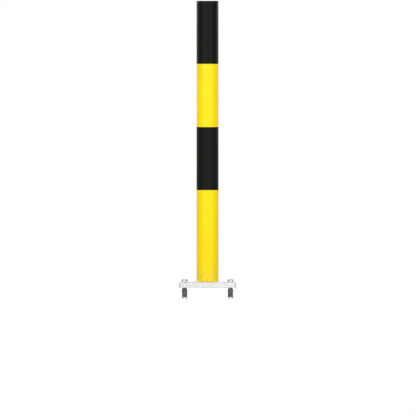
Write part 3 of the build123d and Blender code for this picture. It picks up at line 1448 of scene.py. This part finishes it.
@dataclass
class Fasteners(OnBoltAxes):
    """The four hexagon-head bolts and their washers."""

    across_flats: float = 18.0 * MM
    collar_height: float = 0.6 * MM
    collar_radius: float = 8.28 * MM
    chamfer_drop: float = 1.4 * MM
    corner_softness: float = math.radians(1.6)
    corner_rise: float = 0.35
    flat_steps: int = 8
    head_easing: float = 0.25 * MM
    skirt_easing: float = 0.2 * MM
    collar_easing: float = 0.1 * MM
    dish_radius: float = 5.6 * MM
    dish_depth: float = 0.3 * MM
    dish_easing: float = 0.3 * MM
    tip_chamfer: float = 1.2 * MM
    runout: float = 2.4 * MM
    washer_radius: float = 10.0 * MM
    washer_bore: float = 6.5 * MM
    washer_sides: int = 72
    punched_rim: float = 0.35 * MM
    punched_bore: float = 0.25 * MM
    crisp_rim: float = 0.12 * MM

    def build(self) -> None:
        """Makes one bolt and one washer, and sets copies of them on the four axes."""
        self.set_out("bolts", self.bolt(), Slot.ZINC, "anchor_bolts", seed=7)
        self.set_out("washers", self.washer(), Slot.ZINC, "anchor_washers", seed=19)

    def hexagon(self, angle: float) -> float:
        """Gives the radius of the head's sides at an angle, with a corner on +X.

        Args:
            angle: the angle round the bolt.

        Returns:
            The distance from the axis.
        """
        sixth = math.pi / 3.0
        off = angle % sixth - sixth / 2.0
        limit = sixth / 2.0 - self.corner_softness
        reach = self.across_flats / 2.0 / math.cos(min(abs(off), limit))
        return reach * (1.0 + self.corner_rise * max(0.0, abs(off) - limit))

    def stations(self) -> list[float]:
        """Gives the angles at which the bolt is drawn, closer together at the head's corners.

        Returns:
            The angles, in order.
        """
        sixth = math.pi / 3.0
        flat = sixth - 2 * self.corner_softness
        inner = [self.corner_softness + flat * k / self.flat_steps for k in range(self.flat_steps + 1)]
        return [sixth * side + off for side in range(6) for off in (0.0, *inner)]

    def bolt(self) -> bpy.types.Mesh:
        """Makes one bolt on the Z axis: a dished hexagon head, its collar and the thread.

        Returns:
            The bolt's closed mesh.
        """
        low, high = self.levels("anchor_bolts")
        seat = self.levels("anchor_washers")[1]
        corner = self.across_flats / math.sqrt(3.0)
        slope = self.chamfer_drop / (corner - self.collar_radius)
        rows = self.thread.rows(low, seat)

        def profile(angle: float) -> Profile:
            """Gives the bolt's outline at an angle.

            Args:
                angle: the angle round the axis.

            Returns:
                The outline, from the head's middle to the tip's.
            """
            side = self.hexagon(angle)
            shoulder = high - (side - self.collar_radius) * slope
            head = rounded(
                [
                    (0.0, high - self.dish_depth, 0.0),
                    (self.dish_radius, high - self.dish_depth, self.dish_easing),
                    (self.dish_radius + self.dish_depth * 2.0, high, self.dish_easing),
                    (self.collar_radius, high, self.head_easing),
                    (side, shoulder, self.head_easing),
                    (side, seat + self.collar_height, self.skirt_easing),
                    (self.collar_radius, seat + self.collar_height, 0.0),
                    (self.collar_radius, seat, self.collar_easing),
                    (self.thread.radius, seat, 0.0),
                    (0.0, seat, 0.0),
                ],
                steps=2,
            )[:-2]
            shank = []
            for level in rows:
                neck = min(1.0, (seat - level) / self.runout)
                radius = self.thread.radius + (self.thread.at(angle, level) - self.thread.radius) * neck
                shank.append((min(radius, self.thread.radius - self.tip_chamfer + level - low), level))
            return [*head, *shank, (0.0, low)]

        shell = Shell()
        shell.turn(profile, self.stations())
        return shell.mesh("bolt")

    def washer(self) -> bpy.types.Mesh:
        """Makes one washer on the Z axis: its punched upper rim rounded, the lower one crisp.

        Returns:
            The washer's closed mesh.
        """
        low, high = self.levels("anchor_washers")
        corners = [
            (self.washer_bore, high, self.punched_bore),
            (self.washer_radius, high, self.punched_rim),
            (self.washer_radius, low, self.crisp_rim),
            (self.washer_bore, low, self.crisp_rim),
        ]
        return lathed("washer", rounded(corners), self.washer_sides)


@dataclass
class Anchors(OnBoltAxes):
    """The four shield anchors: ferrule, four slotted segments, wire ring and expander nut."""

    radius: float = 9.0 * MM
    bore: float = 6.6 * MM
    gap: float = 0.05 * MM
    ferrule_wall: float = 0.8 * MM
    ferrule_sides: int = 96
    shoulder_easing: float = 0.7 * MM
    mouth_easing: float = 0.2 * MM
    lip_easing: float = 0.15 * MM
    cast_easing: float = 0.1 * MM
    slot_width: float = 1.6 * MM
    segments: int = 4
    segment_steps: int = 18
    rib_pitch: float = 2.3 * MM
    rib_depth: float = 0.32 * MM
    rib_easing: float = 0.08 * MM
    wire: float = 1.1 * MM
    ring_gap: float = math.radians(36.0)
    nut_height: float = 18.0 * MM
    foot_height: float = 3.0 * MM
    foot_inset: float = 0.3 * MM
    cone_wall: float = 1.0 * MM
    foot_easing: float = 0.3 * MM
    cone_easing: float = 0.6 * MM
    nut_sides: int = 60
    key_height: float = 7.5 * MM
    key_gap: float = 0.25 * MM
    key_inset: float = 0.5 * MM
    key_easing: float = 0.3 * MM
    key_sink: float = 0.5 * MM

    def build(self) -> None:
        """Makes one of each piece, and sets copies of them on the four axes."""
        dark, segments = Slot.DARK, self.segments
        self.set_out("ferrules", self.ferrule(), dark, "shield_ferrules", seed=3)
        self.set_out("shields", self.segment(), dark, "shield_segments", seed=3, copies=segments)
        self.set_out("wire_rings", self.ring(), dark, "shield_rings", seed=3)
        self.set_out("expanders", self.nut(), Slot.ZINC, "expander_nuts", seed=11)

    def ring(self) -> bpy.types.Mesh:
        """Makes one wire ring, in the groove round the segments.

        Returns:
            The ring's closed mesh.
        """
        low, high = self.levels("shield_rings")
        sizes = {
            "Radius": self.radius - self.gap - self.wire / 2.0,
            "Wire": self.wire,
            "Height": (low + high) / 2.0,
            "Gap": self.ring_gap,
        }
        return WireRing().grow("wire_ring", self.finishes[Slot.DARK], sizes)

    def ferrule(self) -> bpy.types.Mesh:
        """Makes one pressed ferrule: a round cup with a hole for the bolt in its floor.

        Returns:
            The ferrule's closed mesh.
        """
        low, high = self.levels("shield_ferrules")
        inside = self.radius - self.ferrule_wall
        corners = [
            (self.bore, high, self.mouth_easing),
            (self.radius, high, self.shoulder_easing),
            (self.radius, low, self.lip_easing),
            (inside, low, self.lip_easing),
            (inside, high - self.ferrule_wall, self.cast_easing),
            (self.bore, high - self.ferrule_wall, self.mouth_easing),
        ]
        return lathed("ferrule", rounded(corners, steps=4), self.ferrule_sides)

    @property
    def cone(self) -> tuple[float, float, float, float]:
        """The expander cone: its foot's radius and level, then its top's.

        Returns:
            The two radii and the two levels.
        """
        low = self.levels("expander_nuts")[0]
        top_radius = self.thread.radius + self.gap + self.cone_wall
        return self.radius - self.foot_inset, low + self.foot_height, top_radius, low + self.nut_height

    def cone_radius(self, level: float) -> float:
        """Gives the cone's radius at a level."""
        foot_radius, foot, top_radius, top = self.cone
        return top_radius + (foot_radius - top_radius) * (top - level) / (top - foot)

    def segment(self) -> bpy.types.Mesh:
        """Makes the shield's segment that is centred on +X, with ribs across its outside.

        Returns:
            The segment's closed mesh.
        """
        low, high = self.levels("shield_segments")
        shoulder = self.levels("shield_ferrules")[0] - self.gap
        ring_low, ring_high = self.levels("shield_rings")
        groove = self.radius - self.wire - 2.0 * self.gap
        neck = self.radius - self.ferrule_wall - self.gap
        mouth = self.cone_radius(low) + self.gap
        slope = (mouth - self.cone_radius(low + MM) - self.gap) / MM
        corners: list[Corner] = [
            (self.bore, high, self.cast_easing),
            (neck, high, self.cast_easing),
            (neck, shoulder, 0.0),
            (self.radius, shoulder, self.lip_easing),
            (self.radius, ring_high + self.gap, self.cast_easing),
            (groove, ring_high + self.gap, self.cast_easing),
            (groove, ring_low - self.gap, self.cast_easing),
            (self.radius, ring_low - self.gap, self.cast_easing),
        ]
        ribs = int((ring_low - low - self.rib_pitch) / self.rib_pitch)
        for rib in range(ribs):
            level = ring_low - (rib + 1) * self.rib_pitch
            corners += [
                (self.radius, level + self.rib_depth, self.rib_easing),
                (self.radius - self.rib_depth, level, self.rib_easing),
                (self.radius, level - self.rib_depth, self.rib_easing),
            ]
        corners += [
            (self.radius, low, self.mouth_easing),
            (mouth, low, self.cast_easing),
            (self.bore, low + (mouth - self.bore) / slope, 0.0),
        ]
        outline = rounded(corners, steps=2)
        quarter = math.pi / self.segments

        def between_slots(share: float, point: Point) -> Place:
            """Places a point of the profile at a share of the way from the middle to a slot's side."""
            reach = quarter - math.asin(self.slot_width / 2.0 / point[0])
            return on_axis(share * reach, point)

        shares = [2.0 * step / self.segment_steps - 1.0 for step in range(self.segment_steps + 1)]
        shell = Shell()
        shell.turn(lambda share: outline, shares, between_slots, whole=False)
        return shell.mesh("segment")

    def nut(self) -> bpy.types.Mesh:
        """Makes one expander nut: a threaded cone with a straight foot, and a key in each slot.

        Returns:
            The nut's closed mesh.
        """
        foot_radius, foot, top_radius, top = self.cone
        low = self.levels("expander_nuts")[0]
        rows = self.thread.rows(low, top)
        mouth = self.thread.depth + self.gap

        def profile(angle: float) -> Profile:
            """Gives the nut's outline at an angle.

            Args:
                angle: the angle round the axis.

            Returns:
                The outline, with the thread on its inner side.
            """
            outside = rounded(
                [
                    (foot_radius, low, self.foot_easing),
                    (foot_radius, foot, self.cone_easing),
                    (top_radius, top, 0.0),
                    (self.bore, top, 0.0),
                    (self.bore, low, 0.0),
                ],
                steps=3,
            )[:-2]
            bore = []
            for level in rows:
                flare = max(0.0, mouth - min(level - low, top - level))
                limit = self.thread.radius + self.gap - self.thread.depth + flare
                bore.append((max(self.thread.at(angle, level) + self.gap, limit), level))
            return [*outside, *bore]

        shell = Shell()
        shell.turn(profile, around(self.nut_sides))
        nut = shell.mesh("nut")
        for key in range(self.segments):
            nut = united(nut, self.key(math.tau * (key + 0.5) / self.segments))
        return nut

    def key(self, angle: float) -> bpy.types.Mesh:
        """Makes the key that stands out of the cone at an angle, with a rounded rim.

        Args:
            angle: the slot's angle round the axis.

        Returns:
            The key's closed mesh.
        """
        foot = self.cone[1]
        half = self.slot_width / 2.0 - self.key_gap
        inner = self.thread.radius + self.gap + self.cone_wall / 2.0
        outer = self.radius - self.key_inset
        corners = [
            (inner, -half, 0.0),
            (outer, -half, self.key_easing),
            (outer, half, self.key_easing),
            (inner, half, 0.0),
        ]
        cosine, sine = math.cos(angle), math.sin(angle)
        turned = [(x * cosine - y * sine, x * sine + y * cosine) for x, y in rounded(corners)]
        shell = Shell()
        shell.prism(turned, foot - self.key_sink, foot + self.key_height)
        return shell.mesh("key")


# ---- Studio ----------------------------------------------------------------------------


@dataclass(frozen=True)
class Lamp:
    """One square soft light: where it hangs, the length of its side and its power in watts."""

    name: str
    place: Place
    side: float
    power: float

    def hang(self, target: Vector) -> None:
        """Hangs the light, turned towards a target.

        Args:
            target: the point that it faces.
        """
        light = bpy.data.lights.new(self.name, "AREA")
        light.shape, light.size, light.energy = "SQUARE", self.side, self.power
        holder = bpy.data.objects.new(self.name, light)
        holder.location = self.place
        holder.rotation_euler = (target - Vector(self.place)).to_track_quat("-Z", "Y").to_euler()
        bpy.context.scene.collection.objects.link(holder)


@dataclass
class Studio:
    """The pale floor, the soft lights and the level camera."""

    floor_radius: float = 40.0
    floor_sides: int = 96
    floor_tone: float = 0.86
    floor_matt: float = 0.8
    fibres_per_metre: float = 700.0
    clear_from: float = 0.45
    clear_at: float = 1.15
    view_width: float = 1.4498
    view_distance: float = 6.0
    top_margin: float = 2.8 * MM
    aside: float = 1.7 * MM
    horizon_light: float = 0.04
    zenith_light: float = 0.26
    zenith_from: float = 0.15
    zenith_at: float = 0.9
    lit_height: float = 0.45
    lamps: tuple[Lamp, ...] = (
        Lamp("front", (0.0, -5.0, 0.6), side=1.2, power=12.0),
        Lamp("key", (-2.0, -3.4, 1.9), side=2.0, power=94.0),
        Lamp("fill", (2.2, -3.3, 1.7), side=2.0, power=78.0),
        Lamp("back_left", (-2.8, 3.0, 1.9), side=1.8, power=82.0),
        Lamp("back_right", (2.8, 3.0, 1.9), side=1.8, power=82.0),
    )

    def build(self) -> None:
        """Makes the floor, the background, the lights and the camera."""
        self.lay_floor()
        self.light_background()
        for lamp in self.lamps:
            lamp.hang(Vector((0.0, 0.0, self.lit_height)))
        self.set_camera()

    def lay_floor(self) -> None:
        """Lays the floor at the anchors' feet. It clears to white away from the bollard."""
        level = cad_box[0].z
        rim = [on_axis(angle, (self.floor_radius, level)) for angle in around(self.floor_sides)]
        mesh = bpy.data.meshes.new("floor")
        mesh.from_pydata(rim, [], [tuple(range(len(rim)))])
        mesh.materials.append(self.floor_material())
        floor = bpy.data.objects.new("floor", mesh)
        bpy.context.scene.collection.objects.link(floor)

    def floor_material(self) -> bpy.types.Material:
        """Makes the floor's paper: matt and pale in the middle, white further out, clear from below.

        Returns:
            The material.
        """
        made = bpy.data.materials.new("floor_paper")
        made.use_nodes = True
        graph = Graph(made.node_tree)
        matt = made.node_tree.nodes["Principled BSDF"]
        where = graph.add("ShaderNodeTexCoord").outputs["Object"]
        fibres = graph.noise(where, scale=self.fibres_per_metre, detail=3.0)
        tone = self.floor_tone * (0.98 + fibres * 0.04)
        grey = graph.add("ShaderNodeCombineColor", None, {0: tone, 1: tone, 2: tone})
        graph.feed(matt.inputs["Base Color"], grey.outputs[0])
        graph.feed(matt.inputs["Roughness"], self.floor_matt + fibres * 0.1)
        x, y, _ = graph.split(where)
        far = graph.maths("SQRT", x * x + y * y).between(self.clear_from, self.clear_at)
        seen = Number(graph, graph.add("ShaderNodeLightPath").outputs["Is Camera Ray"])
        white = graph.add("ShaderNodeEmission", None, {"Color": (1.0, 1.0, 1.0, 1.0), "Strength": 1.0})
        upper = {0: far * seen, 1: matt.outputs[0], 2: white.outputs[0]}
        mixed = graph.add("ShaderNodeMixShader", None, upper)
        clear = graph.add("ShaderNodeBsdfTransparent")
        under = Number(graph, graph.add("ShaderNodeNewGeometry").outputs["Backfacing"])
        both = {0: under * seen, 1: mixed.outputs[0], 2: clear.outputs[0]}
        whole = graph.add("ShaderNodeMixShader", None, both)
        output = made.node_tree.nodes["Material Output"]
        graph.feed(output.inputs["Surface"], whole.outputs[0])
        return made

    def light_background(self) -> None:
        """Makes the background white to look at; as a light it is dim, brighter overhead."""
        world = bpy.data.worlds.new("studio")
        world.use_nodes = True
        bpy.context.scene.world = world
        graph = Graph(world.node_tree)
        seen = Number(graph, graph.add("ShaderNodeLightPath").outputs["Is Camera Ray"])
        background = world.node_tree.nodes["Background"]
        background.inputs["Color"].default_value = (1.0, 1.0, 1.0, 1.0)
        up = graph.split(graph.add("ShaderNodeTexCoord").outputs["Generated"])[2]
        rise = up.between(self.zenith_from, self.zenith_at) * (self.zenith_light - self.horizon_light)
        light = self.horizon_light + rise
        graph.feed(background.inputs["Strength"], seen + (1.0 - seen) * light)

    def set_camera(self) -> None:
        """Sets a level camera without perspective, straight in front, its frame's top just over the cap."""
        camera = bpy.data.cameras.new("camera")
        camera.type = "ORTHO"
        camera.ortho_scale = self.view_width
        camera.clip_end = 100.0
        holder = bpy.data.objects.new("camera", camera)
        top = cad_box[1].z
        level = top + self.top_margin - self.view_width / 2.0
        holder.location = (self.aside, -self.view_distance, level)
        holder.rotation_euler = (math.pi / 2.0, 0.0, 0.0)
        bpy.context.scene.collection.objects.link(holder)
        scene = bpy.context.scene
        scene.camera = holder
        scene.view_settings.view_transform = "Standard"
        scene.view_settings.look = "None"


def main() -> None:
    """Dresses the frame piece by piece and sets the studio round it."""
    logging.basicConfig(level=logging.INFO, format="%(name)s: %(message)s")
    finishes = {
        finish.slot: finish.material()
        for finish in (YellowCoating(), BlackFilm(), BlackPlastic(), Galvanised(), ZincPlate(), DarkZinc())
    }
    for part in (Post, Bands, Foot, Fasteners, Anchors):
        part(finishes).build()
    Studio().build()


if __name__ == "__main__":
    main()
